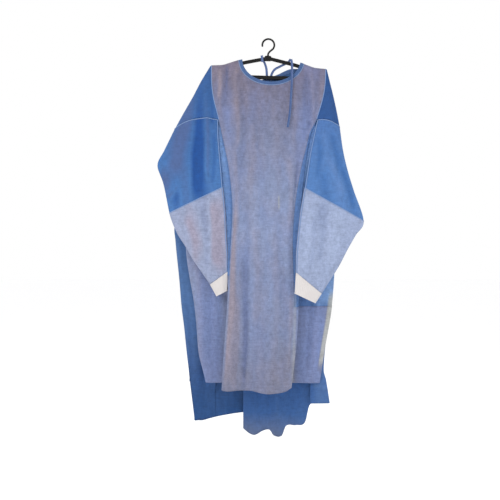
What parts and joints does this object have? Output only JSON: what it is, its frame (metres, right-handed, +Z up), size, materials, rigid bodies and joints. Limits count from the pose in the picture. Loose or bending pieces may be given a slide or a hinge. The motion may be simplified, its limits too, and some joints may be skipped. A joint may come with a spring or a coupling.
{
  "type": "surgical gown on a hanger",
  "caption": "Long-sleeved wrap gown of blue non-woven cloth with a grey reinforced front and forearms, knit cuffs and neck ties, hanging flat on a plain plastic hanger.",
  "frame": {"origin": "point where the hanger's hook bears on its rail", "axes": "+Z up; the gown's front faces -Y; +X is the wearer's left"},
  "size_m": [0.7621, 0.1584, 1.4979],
  "materials": {
    "gown_cloth": "matte non-woven",
    "reinforcement": "matte laminated non-woven",
    "cuff_knit": "rib knit",
    "trim": "matte tape",
    "hanger_plastic": "moulded"
  },
  "bodies": {
    "root": {"front_body": "gown_cloth", "front_reinforcement": "reinforcement", "back_wing_right": "gown_cloth", "back_wing_left": "gown_cloth", "neck_binding_front": "trim", "neck_binding_right": "trim", "neck_binding_left": "trim", "upper_sleeve_right": "gown_cloth", "sleeve_right": "gown_cloth", "forearm_reinforcement_right": "reinforcement", "cuff_right": "cuff_knit", "upper_sleeve_left": "gown_cloth", "sleeve_left": "gown_cloth", "forearm_reinforcement_left": "reinforcement", "cuff_left": "cuff_knit", "neck_tie_long": "trim", "neck_tie_loop": "trim", "hanger_arm_right": "hanger_plastic", "hanger_arm_left": "hanger_plastic", "hanger_bar": "hanger_plastic", "hanger_hook": "hanger_plastic", "hanger_boss": "hanger_plastic"}
  },
  "joints": []
}
